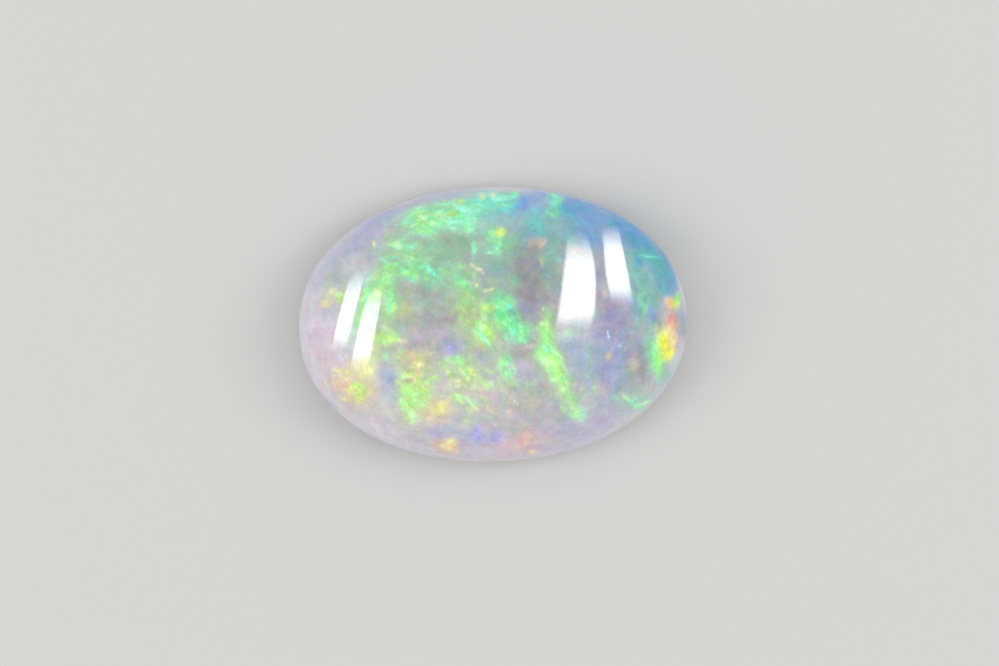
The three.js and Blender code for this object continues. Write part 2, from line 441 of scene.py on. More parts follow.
# Narrow streaks and crisp flakes
STREAKS = [
    (-1.75, 3.98, 0.6, 0.26, -30, PALE, 0.6),
    (-1.35, 4.03, 0.4, 0.26, 0, LIME, 0.5),
    (-1.3, 3.74, 0.5, 0.15, -6, FROST, 0.45),
    (-0.85, 4.12, 0.8, 0.24, -40, FROST, 0.6),
    (-0.6, 3.9, 0.5, 0.12, -60, FROST, 0.35),
    (-1.22, 4.36, 0.4, 0.14, -35, FROST, 0.5),
    (-1.05, 4.48, 0.36, 0.24, 0, LIME, 0.5),
    (-0.57, 2.8, 0.6, 0.34, 85, MINT, 0.7),
    (-0.6, 2.68, 0.16, 0.24, 0, FROST, 0.4),
    (-2.15, 2.0, 0.85, 0.26, -38, AQUA, 0.9),
    (-2.3, 2.1, 0.4, 0.16, -38, FROST, 0.25),
    (-2.85, 2.48, 0.4, 0.11, -22, PALE, 0.6),
    (-3.88, 2.44, 0.3, 0.24, -30, AQUA, 0.55),
    (-3.5, 2.5, 0.45, 0.12, 4, AQUA, 0.45),
    (-2.9, 2.85, 0.45, 0.2, -8, FROST, 0.35),
    (-3.35, 2.97, 0.36, 0.26, -30, PALE, 0.35),
    (-2.55, 2.13, 0.3, 0.18, 0, MINT, 0.6),
    (-0.3, -0.55, 0.7, 0.2, -55, MINT, 0.8),
    (-0.3, -0.58, 0.4, 0.12, -55, FROST, 0.3),
    (-0.4, -0.05, 0.2, 0.26, 0, PALE, 0.45),
    (-0.14, -0.2, 0.26, 0.45, 0, LIME, 0.75),
    (-0.28, 0.58, 0.46, 0.44, 0, LIME, 0.9),
    (-0.04, 0.55, 0.22, 0.3, 0, OLIVE, 0.6),
    (0.58, 0.6, 0.34, 0.26, 35, AQUA, 0.8),
    (0.74, 0.42, 0.34, 0.34, 0, SEA, 0.5),
    (0.06, 3.28, 0.6, 0.44, 85, MINT, 0.8),
    (0.35, 3.3, 0.5, 0.48, 0, LIME, 0.85),
    (0.37, 3.31, 0.3, 0.32, 0, LEMON, 0.3),
    (0.27, 2.8, 0.55, 0.28, 72, MINT, 0.8),
    (-0.05, 2.58, 0.45, 0.14, -6, FROST, 0.6),
    (0.18, 2.98, 0.3, 0.2, 0, GREEN, 0.45),
    (5.75, 2.25, 0.9, 0.12, -6, AQUA, 0.35),
    (4.72, -2.82, 0.5, 0.18, -42, PALE, 0.85),
    (4.98, -3.08, 0.5, 0.18, -42, MINT, 0.85),
    (5.35, -3.02, 0.6, 0.16, 10, PALE, 0.8),
    (5.2, -3.15, 0.4, 0.12, 5, MINT, 0.5),
    (-3.38, 3.68, 0.26, 0.14, -5, FROST, 0.55),
    (-3.0, 3.75, 0.2, 0.16, 0, MINT, 0.5),
    (2.48, 2.22, 0.36, 0.18, -10, AQUA, 0.5),
    (3.68, 0.25, 0.5, 0.18, 85, MINT, 0.5),
    (2.72, -0.35, 0.4, 0.34, 40, PALE, 0.55),
    (-1.6, -0.85, 0.2, 0.55, -20, VIOLET, 0.6),
    (-1.38, -0.8, 0.3, 0.45, 0, BLUE, 0.3),
    (-0.68, -3.85, 0.3, 0.75, -15, VIOLET, 0.72),
    (0.05, -4.08, 0.55, 0.5, 0, VIOLET, 0.55),
    (5.8, 0.15, 0.26, 0.5, 0, INDIGO, 0.3),
    (1.25, 4.4, 0.36, 0.6, 0, COBALT, 0.65),
    (1.6, 4.1, 0.3, 0.4, 0, AQUA, 0.25),
    (2.9, 3.6, 0.34, 0.4, 0, SEA, 0.45),
    (3.3, 4.1, 0.4, 0.34, 0, TEAL, 0.4),
    (5.74, -1.05, 1.1, 0.2, 80, MINT, 0.3),
    (5.95, -1.3, 1.35, 0.62, 84, FLARE, 0.95),
    (5.91, -0.95, 0.6, 0.28, 78, MINT, 0.5),
    (6.46, -0.12, 0.95, 0.54, -86, CORAL, 0.9),
    (6.2, -0.9, 1.32, 0.6, -77, YELLOW, 1.0),
    (6.37, -1.26, 0.46, 0.34, 45, YELLOW, 0.9),
    (6.5, -0.7, 0.95, 0.36, -84, PEACH, 0.85),
    (6.42, -0.72, 0.75, 0.22, -81, AMBER, 0.8),
    (6.38, 0.58, 0.4, 0.5, 0, PEACH, 0.75),
    (6.5, 0.55, 0.38, 0.44, 0, ORANGE, 0.85),
    (6.64, 0.54, 0.34, 0.44, 0, LEMON, 0.85),
    (6.71, 0.78, 0.28, 0.46, 0, FLARE, 0.85),
    (-1.68, -4.27, 0.6, 0.6, 0, CREAM, 0.45),
    (-1.68, -4.27, 0.5, 0.55, 0, AMBER, 0.48),
    (-1.5, -4.5, 0.4, 0.35, 0, PEACH, 0.55),
    (-1.9, -2.88, 0.32, 0.5, -15, GOLD, 0.75),
    (-2.38, -3.16, 0.45, 0.5, 0, PEACH, 0.3),
    (-2.7, -1.35, 0.34, 0.26, 20, CREAM, 0.6),
    (-2.92, -1.05, 0.28, 0.28, 0, PEACH, 0.7),
    (-2.78, -1.65, 0.2, 0.36, 0, PEACH, 0.55),
    (-3.12, -1.93, 0.36, 0.2, 0, TAN, 0.4),
    (-3.3, -1.82, 0.26, 0.2, 0, PALE, 0.45),
    (1.1, -4.1, 0.4, 0.4, 0, PEACH, 0.45),
    (1.22, -4.65, 0.4, 0.2, 5, PEACH, 0.65),
    (0.9, -4.35, 0.2, 0.45, 0, CORAL, 0.22),
    (1.68, 2.92, 0.75, 0.34, 0, PEACH, 0.3),
    (1.84, 2.2, 0.18, 0.4, 0, AMBER, 0.4),
    (-6.1, 0.92, 0.36, 0.3, 0, AMBER, 0.55),
    (-5.76, 1.33, 0.32, 0.4, 0, AMBER, 0.52),
    (-5.5, 1.2, 0.34, 0.46, 0, LIME, 0.75),
    (4.12, -1.27, 0.26, 0.4, 0, AMBER, 0.55),
    (5.05, -1.6, 0.6, 0.9, 0, PEACH, 0.22),
    (4.08, 0.92, 0.2, 0.35, 0, PEACH, 0.45),
    (-5.45, -1.53, 0.6, 0.2, -5, AMBER, 0.55),
    (-5.65, -2.05, 0.5, 0.5, 0, PEACH, 0.5),
    (-5.35, -2.55, 0.5, 0.2, -12, AMBER, 0.55),
    (-4.6, -1.5, 0.6, 0.4, -15, CREAM, 0.6),
    (-4.15, 1.27, 0.3, 0.36, 0, CREAM, 0.45),
    (-0.66, 2.16, 0.3, 0.13, -42, CREAM, 0.6),
    (-0.42, 2.0, 0.34, 0.14, 0, CREAM, 0.85),
    (-0.25, 1.85, 0.2, 0.12, -45, CREAM, 0.5),
    (-0.57, 1.45, 0.16, 0.18, 0, CREAM, 0.65),
    (-0.22, 1.22, 0.24, 0.16, 0, CREAM, 0.7),
    (0.0, 1.27, 0.24, 0.13, 10, CREAM, 0.85),
    (-0.26, 4.65, 0.3, 0.3, 0, CREAM, 0.5),
    (0.15, 4.7, 0.26, 0.24, 0, CREAM, 0.4),
    (-4.2, 3.03, 0.18, 0.26, 0, CREAM, 0.85),
    (-3.72, 3.22, 0.3, 0.34, 0, OLIVE, 0.3),
    (-3.2, -0.5, 0.28, 0.24, 0, PEACH, 0.5),
    (0.47, -3.25, 0.3, 0.32, 0, PEACH, 0.4),
    (1.35, -0.85, 0.34, 0.2, 0, ROSE, 0.45),
    (1.76, 0.0, 0.2, 0.14, 10, PALE, 0.6),
    (2.13, -2.05, 0.26, 0.14, -20, PALE, 0.6),
    (2.45, -2.47, 0.18, 0.16, 0, PALE, 0.7),
    (-3.38, -2.6, 0.16, 0.3, 0, PALE, 0.5),
    (-3.05, -3.2, 0.26, 0.2, 0, PALE, 0.5),
    (4.11, -0.4, 0.09, 0.24, 0, ICE, 0.85),
    (4.16, -0.59, 0.09, 0.16, 0, ICE, 0.65),
    (4.52, -0.92, 0.16, 0.14, 0, ICE, 0.5),
    (1.83, 0.53, 0.1, 0.18, 0, CREAM, 0.8),
    (0.68, -2.86, 0.28, 0.07, 85, CREAM, 0.8),
    (0.78, -2.9, 0.28, 0.07, 85, CREAM, 0.8),
    (0.5, 4.55, 0.7, 0.2, 5, FROST, 0.25),
    (1.28, -4.65, 0.2, 0.13, 0, CREAM, 0.6),
    (-1.7, -4.17, 0.2, 0.14, 0, CREAM, 0.6),
    (-1.95, -4.4, 0.16, 0.14, 0, CREAM, 0.55),
    (-5.6, -1.53, 0.16, 0.12, 0, CREAM, 0.6),
    (-5.3, -1.56, 0.2, 0.12, 0, CREAM, 0.6),
    (-5.42, -2.5, 0.2, 0.12, 0, CREAM, 0.6),
]

# Scattered small flakes: x, y, length, width and turn of the area, colours, count, and a flake's
# length, width and turn
SPRINKLES = [
    (-2.35, 3.8, 1.7, 1.1, -5, (MINT, PALE, GREEN), 33, 0.34, 0.16, -4),
    (-1.0, 3.9, 1.5, 1.1, -10, (MINT, FROST, MINT), 26, 0.34, 0.16, -30),
    (0.3, 4.4, 2.4, 0.8, 0, (AQUA, AQUA, MINT), 17, 0.47, 0.2, -8),
    (2.35, 4.2, 0.8, 1.0, -10, (AQUA, MINT), 7, 0.36, 0.18, 80),
    (-3.1, 2.75, 2.2, 1.0, -14, (MINT, GREEN, MINT), 29, 0.36, 0.14, -14),
    (-2.7, 1.95, 1.8, 0.7, -8, (GREEN, MINT), 20, 0.31, 0.14, -14),
    (-4.3, 1.4, 0.8, 1.5, -20, (GREEN, LIME, MINT), 17, 0.39, 0.14, 78),
    (-3.7, 1.0, 0.4, 1.4, 0, (GREEN, MINT), 11, 0.39, 0.14, 84),
    (-1.2, 1.75, 2.0, 1.1, -30, (JADE, GREEN), 20, 0.36, 0.16, -30),
    (-0.9, 0.5, 1.2, 1.4, 0, (OLIVE, LIME, GREEN), 16, 0.29, 0.18, -50),
    (0.25, 0.6, 1.5, 1.1, -30, (MINT, JADE, GREEN), 30, 0.29, 0.17, -45),
    (0.75, -0.25, 1.2, 0.9, -20, (MINT, AQUA, JADE, GREEN), 22, 0.26, 0.17, -70),
    (-0.3, -0.25, 0.9, 1.3, 0, (LIME, PALE, GREEN), 20, 0.29, 0.16, -55),
    (1.85, -0.3, 0.8, 0.9, -70, (LIME, GREEN), 12, 0.29, 0.16, -50),
    (2.0, -1.4, 2.0, 0.9, -62, (LIME, GREEN, PALE), 30, 0.36, 0.17, -58),
    (2.65, -2.6, 1.7, 1.0, -60, (GREEN, LIME), 22, 0.29, 0.17, -60),
    (2.95, -3.35, 0.7, 0.6, 0, (MINT, GREEN, PALE), 9, 0.23, 0.16, 0),
    (-2.9, -2.4, 1.4, 1.6, 0, (LIME, GREEN, PALE, LIME), 53, 0.22, 0.17, 0),
    (-3.0, -3.2, 0.6, 0.7, 0, (LIME, PALE), 9, 0.21, 0.18, 0),
    (-2.7, -1.4, 2.0, 1.0, -10, (AMBER, CREAM, LIME, OLIVE), 29, 0.23, 0.17, 0),
    (-1.1, -1.75, 2.4, 1.2, -10, (LIME, GREEN, PALE, OLIVE), 30, 0.23, 0.17, -30),
    (-1.2, -2.75, 2.2, 0.9, -18, (LIME, GREEN, PALE), 18, 0.29, 0.13, -40),
    (-2.0, -3.0, 1.3, 1.1, 0, (AMBER, CREAM), 16, 0.23, 0.18, 0),
    (-5.35, -1.95, 1.5, 1.4, 0, (AMBER, CREAM, LIME), 40, 0.22, 0.16, 0),
    (-4.9, -2.2, 0.8, 0.9, 0, (LIME, LEMON), 16, 0.23, 0.18, 0),
    (-4.0, -0.4, 1.5, 0.9, 0, (LIME, CREAM, GREEN), 22, 0.29, 0.17, -10),
    (0.4, -1.65, 0.8, 1.0, -20, (MINT, GREEN, PALE), 11, 0.31, 0.16, -70),
    (0.7, -2.3, 1.6, 0.9, -30, (GREEN, SAGE, LIME), 7, 0.26, 0.2, -45),
    (-1.7, -4.3, 0.8, 0.8, 0, (AMBER, CREAM), 13, 0.22, 0.17, 0),
    (1.05, -4.25, 1.0, 0.9, 0, (ROSE, PEACH, CREAM), 12, 0.23, 0.18, 0),
    (-5.8, 1.1, 1.0, 0.7, 0, (AMBER, LIME, PEACH), 11, 0.23, 0.17, 0),
    (1.7, 2.9, 0.7, 0.4, 0, (PEACH, TAN), 9, 0.29, 0.1, 85),
    (5.5, 1.5, 2.6, 1.3, -66, (SEA, TEAL, SEA), 20, 0.52, 0.16, -75),
    (5.3, 0.0, 1.2, 2.0, 0, (SEA, SKY, MINT), 15, 0.52, 0.16, 80),
    (-0.6, -4.05, 1.7, 0.8, 0, (VIOLET, SKY), 9, 0.44, 0.31, -20),
    (4.15, -1.2, 1.2, 2.6, 0, (VIOLET, SKY, SAGE), 13, 0.44, 0.18, 84),
    (5.0, -2.9, 1.6, 0.8, -10, (MINT, SAGE), 12, 0.34, 0.14, -30),
    (3.5, -1.9, 0.7, 2.0, 0, (SAGE, SAGE, SKY), 9, 0.52, 0.16, -84),
    (-2.0, -1.7, 3.6, 1.9, -8, (CREAM, PALE, LIME, CREAM, LIME), 46, 0.14, 0.11, -20),
    (-0.5, -2.4, 2.8, 1.9, -30, (PALE, CREAM, LIME, SAGE), 30, 0.22, 0.08, -52),
]

# How the scattered flakes are drawn: how much they gather in the middle of their area (0.5 is even),
# shares of their size and width, the most that one turns away in degrees, and their strengths
FLAKE_SEED = 7
FLAKE_GATHERING = 0.6
FLAKE_SIZES = (0.6, 1.4)
FLAKE_WIDTHS = (0.8, 1.3)
FLAKE_TURN = 16
FLAKE_STRENGTHS = (0.08, 0.36)

# How the edges of the patches fade: how fast, and how late
SOFT_EDGE = (1.6, 2.0)
FLAKE_EDGE = (1.1, 2.4)
CRISP_EDGE = (1.0, 2.6)

# Where a patch ends, as a share of half its size, and the least height over which it fades
EDGE_REACH = 1.8
PATCH_DEPTH = 1.5

# Noise that makes the edges uneven: its seed, without which it would differ at each run, and then
# its scales, each with how far it moves the edges
EDGE_SEED = 1
SOFT_WANDER = (0.7, 0.30)
BANK_WANDER = (0.9, 0.14)
BANK_TEETH = (3.5, 0.06)
STREAK_WANDER = (3.0, 0.05)

# How far below the top the painted glow of the milky sides has turned to the painted shade of the pearl
# top
PEARL_DEPTH = 0.6

# Clouds in the plain milk of the sides: scale of their noise, strength, and how far up they reach
SIDE_CLOUD_SCALE = 0.75
SIDE_CLOUD_STRENGTH = 0.9
SIDE_CLOUD_HEIGHT = 2.2

# Fields of flakes in the material: turn in degrees, length and width of a flake
SLANTED_FLAKES = (-58, 0.52, 0.28)
LEVEL_FLAKES = (-12, 0.50, 0.26)
FINE_FLAKES = (-10, 0.15, 0.13)
SPECKLES = (-62, 0.14, 0.10)

# Noises in the material: scale, detail and roughness
FLAKE_NOISE = (0.8, 2.0, 0.5)
DRIFT_NOISE = (2.2, 3.0, 0.6)
MOTTLE_NOISE = (2.3, 2.0, 0.55)
SPECKLE_NOISE = (1.0, 2.0, 0.6)

# A field of flakes is made of smooth cells and a noise, which it follows in a line (slope, start)
CELL_SMOOTHNESS = 0.7
CELL_SHARE = 0.7
FLAKE_LINE = (1.2, -0.45)

# The flakes turn from level to slanted between these places along the stone
LEVEL_END = -2.0
SLANTED_START = 0.5

# Mottling and speckles are calmer at the girdle: their share there, and the height over which it grows
CALM_SHARE = 0.45
CALM_HEIGHT = 2.6

# Tones of the milk, as lines (slope, start) or slopes that follow a noise, and the share of its mottling
MILK_HUE = (0.06, 0.47)
MILK_SATURATION = (0.30, 0.98)
MILK_VALUE = (0.05, 0.925)
MILK_GRAIN = 0.10
MILK_MOTTLE = 0.32

# Tones of the fire in the same way, and where its brightest flakes turn frosty
FIRE_HUE = (0.04, 0.48)
FIRE_SATURATION = 0.98
FIRE_VALUE = (0.30, 0.89)
FROSTY_GRAIN = (0.55, 1.1)
FROSTY_SHARE = 0.22

# How the banks and the streaks break up into flakes, and how much the speckles show
BANK_TONE = (0.08, 0.58)
BANK_GRAIN = 0.85
STREAK_TONE = (0.15, 0.92)
SPECKLE_SHARE = (0.36, 0.30)
SPECKLE_DRIFT = 1.2
SPECKLE_MIDDLE = 1.1

# Polish of the stone and the scattering in it
POLISH_ROUGHNESS = 0.035
OPAL_IOR = 1.45
SCATTER_SHARE = 0.3
SCATTER_RADIUS = (1.0, 0.9, 0.85)
SCATTER_DEPTH = 0.2 * MM

# Strip lights, by where each is seen on the dome: rows from top to bottom of y, left edge, right edge
RIGHT_MAIN = [(3.45, 2.80, 3.40), (1.5, 2.46, 3.82), (-0.45, 2.04, 3.57)]
RIGHT_SIDE = [(3.50, 3.97, 4.64), (1.95, 4.06, 4.92), (0.40, 4.28, 5.16)]
LEFT_OUTER = [(2.05, -5.08, -4.50), (0.55, -5.56, -4.94), (-0.95, -5.97, -5.38)]
LEFT_INNER = [(1.50, -4.40, -3.92), (-0.05, -4.93, -4.17), (-1.60, -5.24, -4.55)]

# Each strip's rows, its radiance, and the share of its length over which its top and its bottom fade
STRIPS = {
    "strip_right_main": (RIGHT_MAIN, 24.0, 0.50, 0.26),
    "strip_right_side": (RIGHT_SIDE, 22.0, 0.44, 0.36),
    "strip_left_outer": (LEFT_OUTER, 15.0, 0.28, 0.34),
    "strip_left_inner": (LEFT_INNER, 15.0, 0.26, 0.30),
}
STRIP_LEFT_FADE = 0.16
STRIP_RIGHT_FADE = 0.12
STRIP_DISTANCE = 0.35
STRIP_STEPS = 24
STRIP_FLOOR_GAP = 0.2 * MM

# Soft light and floor
WHITE = (1, 1, 1, 1)
WORLD_RADIANCE = 0.72
SOFTBOX_WATTS = 0.42
SOFTBOX_SIZE = 0.22
SOFTBOX_PLACES = {"softbox_left": (-0.28, -0.03, 0.26), "softbox_right": (0.28, 0.03, 0.26)}
FLOOR_RADIUS = 0.7
FLOOR_COLOUR = "d0d0cd"
FLOOR_ROUGHNESS = 0.9


def linear(colour):
    """A hex colour as the linear red, green, blue and alpha that the shader takes."""
    channels = [int(colour[i : i + 2], 16) / 255 for i in (0, 2, 4)]
    return tuple(c / 12.92 if c <= 0.04045 else ((c + 0.055) / 1.055) ** 2.4 for c in channels) + (1.0,)


def rgb(colour):
    """A hex colour as an array of linear red, green and blue."""
    return np.array(linear(colour)[:3])


def add_object(name, data):
    """A new object in the scene."""
    made = bpy.data.objects.new(name, data)
    bpy.context.scene.collection.objects.link(made)
    return made


def bulge(ratio, power):
    """One coordinate of a superellipse, from a cosine or a sine."""
    return np.sign(ratio) * np.abs(ratio) ** (2 / power)


def across_at(x, y):
    """How far out a point lies in plan: 0 on the axis, 1 on the girdle."""
    along_x = abs(x / HALF_LENGTH) ** OUTLINE_POWER
    along_y = abs(y / HALF_WIDTH) ** OUTLINE_POWER
    return min(1.0, (along_x + along_y) ** (1 / OUTLINE_POWER))


def dome_point(x, y):
    """The point of the dome above a place in plan."""
    up = max(0.0, 1 - across_at(x, y) ** DOME_POWER) ** (1 / DOME_POWER)
    return Vector((x, y, GIRDLE_TOP + DOME_RISE * up))


def outline_slope(place, half):
    """How fast the outline's formula grows along one axis."""
    return math.copysign(abs(place / half) ** (OUTLINE_POWER - 1), place) / half


def dome_normal(point):
    """The dome's outward direction at one of its points."""
    across = across_at(point.x, point.y)
    up = (point.z - GIRDLE_TOP) / DOME_RISE
    spread = across ** (DOME_POWER - OUTLINE_POWER)
    slope_x = spread * outline_slope(point.x, HALF_LENGTH)
    slope_y = spread * outline_slope(point.y, HALF_WIDTH)
    slope_z = up ** (DOME_POWER - 1) / DOME_RISE
    return Vector((slope_x, slope_y, slope_z)).normalized()


def seen_point(x, y, camera):
    """The point of the dome that the camera sees at a place in the girdle's plane, in millimetres."""
    aim = Vector((x * MM, y * MM, GIRDLE_TOP))
    point = aim
    for _ in range(SIGHT_ROUNDS):
        rise = dome_point(point.x, point.y).z - GIRDLE_TOP
        point = aim + (camera - aim) * (rise / (camera.z - GIRDLE_TOP))
    return dome_point(point.x, point.y)


def rounded_corner(before, corner, after, reach):
    """Points of a short curve that takes the place of a sharp corner of the cross-section."""
    start = corner + (before - corner).normalized() * reach
    end = corner + (after - corner).normalized() * reach
    points = []
    for step in range(CORNER_STEPS + 1):
        t = step / CORNER_STEPS
        points.append(start * (1 - t) ** 2 + corner * (2 * t * (1 - t)) + end * t**2)
    return points


def cross_section():
    """Points from the base to the top of the dome: share of the way out to the girdle, and height."""
    mean = (HALF_LENGTH + HALF_WIDTH) / 2
    base_middle = Vector((0, 0))
    base_edge = Vector((mean * BASE_SHARE, 0))
    girdle_low = Vector((mean, BEVEL_HEIGHT))
    girdle_high = Vector((mean, GIRDLE_TOP))
    points = [base_middle.lerp(base_edge, ring / BASE_RINGS) for ring in range(1, BASE_RINGS)]
    points += rounded_corner(base_middle, base_edge, girdle_low, EDGE_SOFTNESS)
    points += rounded_corner(base_edge, girdle_low, girdle_high, EDGE_SOFTNESS / 2)
    points.append(girdle_high)
    for ring in range(1, DOME_RINGS):
        angle = ring / DOME_RINGS * math.pi / 2
        out = mean * bulge(math.cos(angle), DOME_POWER)
        up = GIRDLE_TOP + DOME_RISE * bulge(math.sin(angle), DOME_POWER)
        points.append(Vector((out, up)))
    return np.array([(point.x / mean, point.y) for point in points])


def ripple(x, y, wave):
    """One plain wave over the plan, from -1 to 1."""
    along_x, along_y, start = wave
    return np.sin(along_x * x / MM + along_y * y / MM + start)


def polish_wave(x, y):
    """The slight unevenness that a hand polish leaves on the dome, never above the true dome."""
    long_part = ripple(x, y, LONG_WAVE) * ripple(x, y, CROSS_WAVE)
    short_part = SHORT_WAVE_SHARE * ripple(x, y, SHORT_WAVE)
    highest = 1 + SHORT_WAVE_SHARE
    return POLISH_HEIGHT * (long_part + short_part - highest)


def stone_mesh():
    """The whole stone as one closed mesh of rings around its axis."""
    section = cross_section()
    angles = np.arange(SIDES) * 2 * math.pi / SIDES
    across, up = section[:, :1], section[:, 1:]
    x = HALF_LENGTH * across * bulge(np.cos(angles), OUTLINE_POWER)
    y = HALF_WIDTH * across * bulge(np.sin(angles), OUTLINE_POWER)
    crown = np.clip(up - GIRDLE_TOP, 0, None) / DOME_RISE
    z = up + crown * polish_wave(x, y)
    rings = np.stack([x, y, z], axis=-1).reshape(-1, 3)
    top_point = (0, 0, HEIGHT + polish_wave(0, 0))
    vertices = np.vstack([[(0, 0, 0)], rings, [top_point]])

    def corner(ring, side):
        return 1 + ring * SIDES + side % SIDES

    last = len(section) - 1
    top = len(vertices) - 1
    faces = []
    for side in range(SIDES):
        faces.append((0, corner(0, side + 1), corner(0, side)))
        faces.append((top, corner(last, side), corner(last, side + 1)))
        for ring in range(last):
            low_pair = (corner(ring, side), corner(ring, side + 1))
            high_pair = (corner(ring + 1, side + 1), corner(ring + 1, side))
            faces.append(low_pair + high_pair)
    mesh = bpy.data.meshes.new("opal_cabochon")
    mesh.from_pydata(vertices.tolist(), [], faces)
    mesh.shade_smooth()
    return mesh


def smoothstep(value, start, end):
    """A smooth step from 0 at the start to 1 at the end."""
    t = np.clip((value - start) / (end - start), 0, 1)
    return t * t * (3 - 2 * t)


def wandering(points, scale, amount):
    """The points moved about by smooth noise, so that a patch laid on them gets an uneven edge."""
    moves = [noise.noise_vector(Vector(point) * scale) for point in points]
    return points + amount * np.array(moves)


def sprinkled():
    """Rows for the scattered flakes, drawn at random but the same at each run."""
    draw = random.Random(FLAKE_SEED)
    rows = []
    for x, y, length, width, turn, colours, count, flake_length, flake_width, flake_turn in SPRINKLES:
        for _ in range(count):
            angle = draw.uniform(0, 2 * math.pi)
            out = 0.5 * draw.uniform(0, 1) ** FLAKE_GATHERING
            place = Vector((length * out * math.cos(angle), width * out * math.sin(angle)))
            place.rotate(Matrix.Rotation(math.radians(turn), 2))
            size = draw.uniform(*FLAKE_SIZES)
            wide = flake_width * draw.uniform(*FLAKE_WIDTHS) * size**0.5
            turned = flake_turn + draw.uniform(-FLAKE_TURN, FLAKE_TURN)
            colour = draw.choice(colours)
            strength = draw.uniform(*FLAKE_STRENGTHS)
            rows.append((x + place.x, y + place.y, flake_length * size, wide, turned, colour, strength))
    return rows


def patches(points, rows, edge, camera):
    """For each oval patch: the points that it reaches, its cover on each, its colour and strength."""
    fade, power = edge
    for x, y, length, width, turn, colour, strength in rows:
        centre = np.array(seen_point(x, y, camera)) / MM
        limit = EDGE_REACH * max(length, width) / 2
        near_x = abs(points[:, 0] - centre[0]) < limit
        near_y = abs(points[:, 1] - centre[1]) < limit
        close = np.flatnonzero(near_x & near_y)
        offset = points[close] - centre
        angle = math.radians(turn)
        along = offset[:, 0] * math.cos(angle) + offset[:, 1] * math.sin(angle)
        over = offset[:, 1] * math.cos(angle) - offset[:, 0] * math.sin(angle)
        up = offset[:, 2] / max(length, width, PATCH_DEPTH)
        reach = np.sqrt((2 * along / length) ** 2 + (2 * over / width) ** 2 + up**2)
        cover = np.exp(-fade * reach**power)[:, None]
        yield close, cover, rgb(colour), strength


def lay(colours, points, rows, edge, camera):
    """Lays the patches over the colours one by one, each with its own strength."""
    for close, cover, colour, strength in patches(points, rows, edge, camera):
        colours[close] += (colour - colours[close]) * strength * cover


def light_up(fire, points, rows, edge, camera):
    """Lays the patches into the fire in full colour, and gives how strongly they cover each point."""
    bare = np.ones((len(points), 1))
    for close, cover, colour, strength in patches(points, rows, edge, camera):
        fire[close] += (colour - fire[close]) * cover
        bare[close] *= 1 - strength * cover
    return 1 - bare


def milk_with_painted_glow_and_shade(points):
    """The stone's colour before any marking: milk painted lighter at the sides as a painted glow, and
    darker pearl towards the top as painted shade.
    """
    painted_shade_share = smoothstep(points[:, 2:], GIRDLE_TOP / MM, HEIGHT / MM - PEARL_DEPTH)
    return rgb(MILK_GLOW) * (1 - painted_shade_share) + rgb(PEARL_SHADE) * painted_shade_share


def cloud_sides(body, points):
    """Lays soft lavender and bone clouds into the milk of the sides, down to the base."""
    waves = np.array([noise.noise(Vector(point) * SIDE_CLOUD_SCALE) for point in points])[:, None]
    height = points[:, 2:] - GIRDLE_TOP / MM
    share = SIDE_CLOUD_STRENGTH * (1 - smoothstep(height, 0, SIDE_CLOUD_HEIGHT))
    body += (rgb(LAVENDER) - body) * share * np.clip(waves, 0, 1)
    body += (rgb(BONE) - body) * share * np.clip(-waves, 0, 1)


def paint(mesh, camera):
    """Writes the stone's colours onto the mesh for the material to read.

    The body holds the milky stone with its soft glows, its painted glow at the sides and painted shade
    towards the top, and painted highlight glows and shade by the strip highlights; the fire holds the
    colour of flakes and streaks.
    The power holds how much there is of the banks and of the streaks, and a zero.
    """
    points = np.array([vertex.co for vertex in mesh.vertices]) / MM
    noise.seed_set(EDGE_SEED)
    soft = wandering(points, *SOFT_WANDER)
    broken = wandering(wandering(points, *BANK_WANDER), *BANK_TEETH)
    sharp = wandering(points, *STREAK_WANDER)
    # Painted glow at the sides and painted shade towards the top, before any marking
    body = milk_with_painted_glow_and_shade(points)
    lay(body, soft, CLOUDS + WASHES + RIM_WASHES, SOFT_EDGE, camera)
    cloud_sides(body, points)
    fire = body.copy()
    bank = light_up(fire, broken, BANKS, FLAKE_EDGE, camera)
    streak = light_up(fire, sharp, sprinkled() + STREAKS, CRISP_EDGE, camera)
    power = np.hstack([bank, streak, np.zeros_like(bank)])
    for name, values in {"body": body, "fire": fire, "power": power}.items():
        attribute = mesh.attributes.new(name, "FLOAT_VECTOR", "POINT")
        attribute.data.foreach_set("vector", values.astype(np.float32).ravel())


